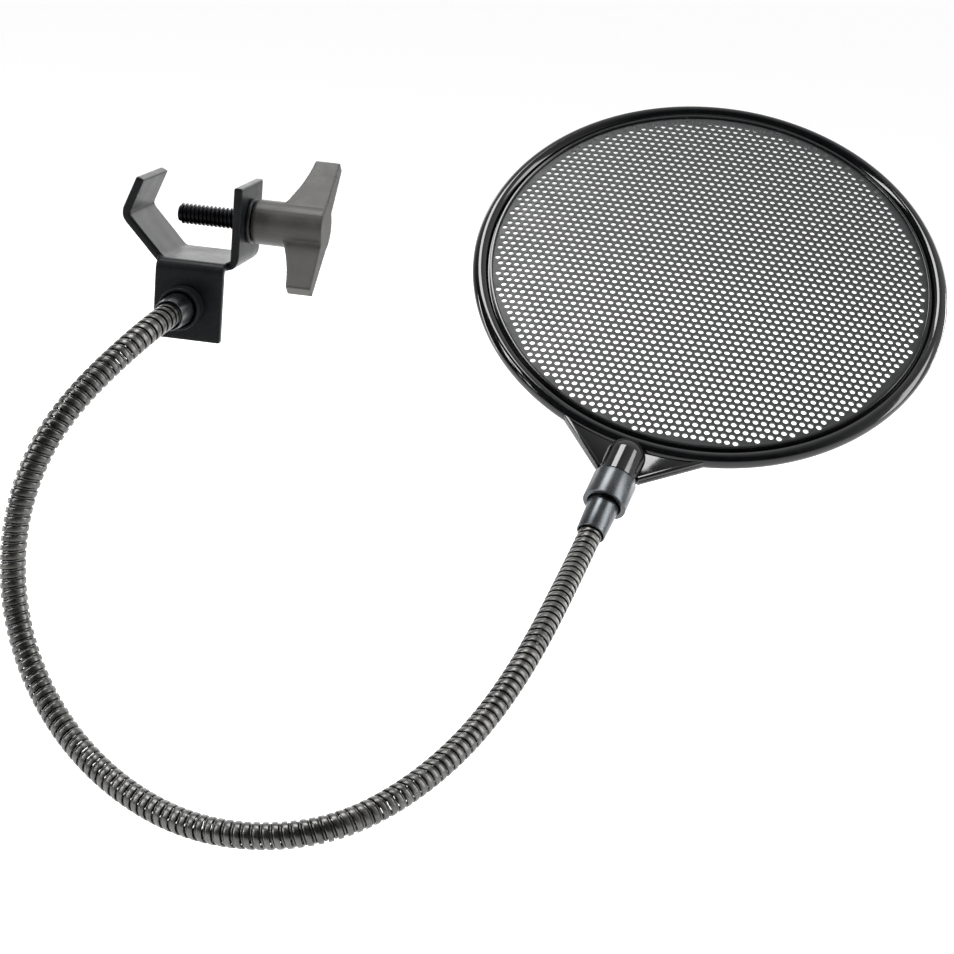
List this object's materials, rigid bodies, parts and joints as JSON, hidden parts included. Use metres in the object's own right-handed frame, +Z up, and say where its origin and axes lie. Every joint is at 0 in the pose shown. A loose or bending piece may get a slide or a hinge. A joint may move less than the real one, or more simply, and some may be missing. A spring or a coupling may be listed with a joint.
{
  "type": "pop filter",
  "caption": "Round metal-mesh pop filter in a glossy hoop, on a wound gooseneck with a V-jaw screw clamp and T-handle.",
  "frame": {"origin": "on the clamp screw's axis, in the middle of the jaw and of the bracket's width", "axes": "+X along the clamp screw towards the T-handle; +Y along the stand tube that the jaw holds, away from the side the neck leaves; +Z up, out of the jaw's open mouth"},
  "size_m": [0.2595, 0.2804, 0.1801],
  "materials": {
    "black_paint": "satin black powder coat",
    "neck_steel": "blackened steel, worn bright on the crowns",
    "screw_steel": "black oxide",
    "fixing_steel": "dull zinc plate",
    "grey_plastic": "fine matte texture",
    "washer_plastic": "matte",
    "gloss_black": "polished",
    "screen_paint": "satin dark grey coat",
    "sleeve_black": "satin black coat"
  },
  "bodies": {
    "stand_clamp": {"clamp_bracket": "black_paint", "base_cup": "sleeve_black", "base_ferrule": "sleeve_black", "fixing_screw": "fixing_steel", "lock_washer": "fixing_steel", "neck_link_00": "neck_steel"},
    "clamp_feed": {"thrust_washer": "washer_plastic"},
    "clamp_screw": {"clamp_screw": "screw_steel", "t_handle": "grey_plastic"},
    "neck_01": {"neck_link_01": "neck_steel"},
    "neck_02": {"neck_link_02": "neck_steel"},
    "neck_03": {"neck_link_03": "neck_steel"},
    "neck_04": {"neck_link_04": "neck_steel"},
    "neck_05": {"neck_link_05": "neck_steel"},
    "neck_06": {"neck_link_06": "neck_steel"},
    "neck_07": {"neck_link_07": "neck_steel"},
    "neck_08": {"neck_link_08": "neck_steel"},
    "neck_09": {"neck_link_09": "neck_steel"},
    "neck_10": {"neck_link_10": "neck_steel"},
    "neck_11": {"neck_link_11": "neck_steel"},
    "neck_12": {"neck_link_12": "neck_steel", "head_ferrule": "sleeve_black", "head_cup": "sleeve_black", "head_stud": "fixing_steel"},
    "hoop": {"hoop_frame": "gloss_black", "retaining_ring": "gloss_black", "mesh_screen": "screen_paint"}
  },
  "joints": [
    {"name": "clamp_feed", "type": "slide", "parent": "stand_clamp", "child": "clamp_feed", "axis": [1, 0, 0], "range_m": [0, 0.016]},
    {"name": "clamp_turn", "type": "hinge", "parent": "clamp_feed", "child": "clamp_screw", "pos_m": [0, 0, 0], "axis": [1, 0, 0], "range_deg": [0, 4536]},
    {"name": "neck_curl_01", "type": "hinge", "parent": "stand_clamp", "child": "neck_01", "pos_m": [-0.00535, -0.05576, -0.03581], "axis": [0.9017, -0.1468, -0.4066], "range_deg": [-24.45, 5]},
    {"name": "neck_sway_02", "type": "hinge", "parent": "neck_01", "child": "neck_02", "pos_m": [-0.01707, -0.07316, -0.0555], "axis": [0.4866, 0.6759, -0.5535], "range_deg": [-12, 12]},
    {"name": "neck_curl_03", "type": "hinge", "parent": "neck_02", "child": "neck_03", "pos_m": [-0.02237, -0.08166, -0.08237], "axis": [0.1728, -0.9484, 0.266], "range_deg": [-22.91, 4.92]},
    {"name": "neck_curl_04", "type": "hinge", "parent": "neck_03", "child": "neck_04", "pos_m": [-0.01661, -0.08826, -0.10964], "axis": [-0.4221, -0.8975, 0.128], "range_deg": [-29.02, 6.17]},
    {"name": "neck_curl_05", "type": "hinge", "parent": "neck_04", "child": "neck_05", "pos_m": [0.00064, -0.09925, -0.12977], "axis": [-0.3591, -0.9136, 0.1909], "range_deg": [-23.03, 4.95]},
    {"name": "neck_sway_06", "type": "hinge", "parent": "neck_05", "child": "neck_06", "pos_m": [0.02454, -0.11094, -0.14076], "axis": [0.3572, 0.3288, 0.8742], "range_deg": [-12.3, 12.3]},
    {"name": "neck_curl_07", "type": "hinge", "parent": "neck_06", "child": "neck_07", "pos_m": [0.05196, -0.1194, -0.14316], "axis": [-0.0688, -0.4722, 0.8788], "range_deg": [-27.74, 5]},
    {"name": "neck_curl_08", "type": "hinge", "parent": "neck_07", "child": "neck_08", "pos_m": [0.07979, -0.11581, -0.13905], "axis": [-0.1051, -0.2785, 0.9547], "range_deg": [-36.78, 6.88]},
    {"name": "neck_curl_09", "type": "hinge", "parent": "neck_08", "child": "neck_09", "pos_m": [0.09968, -0.09664, -0.13127], "axis": [0.0965, -0.4587, 0.8834], "range_deg": [-17.35, 3.37]},
    {"name": "neck_sway_10", "type": "hinge", "parent": "neck_09", "child": "neck_10", "pos_m": [0.11277, -0.07322, -0.12054], "axis": [-0.8546, 0.1384, 0.5005], "range_deg": [-12.3, 12.3]},
    {"name": "neck_curl_11", "type": "hinge", "parent": "neck_10", "child": "neck_11", "pos_m": [0.12147, -0.04908, -0.10722], "axis": [-0.6144, -0.1998, 0.7633], "range_deg": [-10.05, 2.06]},
    {"name": "neck_sway_12", "type": "hinge", "parent": "neck_11", "child": "neck_12", "pos_m": [0.12646, -0.0228, -0.09633], "axis": [-0.9368, 0.0182, 0.3493], "range_deg": [-12.3, 12.3]},
    {"name": "hoop_swivel", "type": "hinge", "parent": "neck_12", "child": "hoop", "pos_m": [0.13514, 0.02072, -0.07204], "axis": [-0.2, -0.7801, -0.5929], "range_deg": [-90, 90]}
  ],
  "couplings": [
    {"joint": "clamp_turn", "follows": "clamp_feed", "rad_per_m": 4947.4},
    {"joint": "neck_curl_03", "follows": "neck_curl_01", "ratio": 0.9249},
    {"joint": "neck_curl_04", "follows": "neck_curl_01", "ratio": 1.1748},
    {"joint": "neck_curl_05", "follows": "neck_curl_01", "ratio": 0.9297},
    {"joint": "neck_sway_06", "follows": "neck_sway_02", "ratio": 1},
    {"joint": "neck_curl_08", "follows": "neck_curl_07", "ratio": 1.3153},
    {"joint": "neck_curl_09", "follows": "neck_curl_07", "ratio": 0.6146},
    {"joint": "neck_sway_10", "follows": "neck_sway_02", "ratio": 1},
    {"joint": "neck_curl_11", "follows": "neck_curl_07", "ratio": 0.3515},
    {"joint": "neck_sway_12", "follows": "neck_sway_02", "ratio": 1}
  ]
}
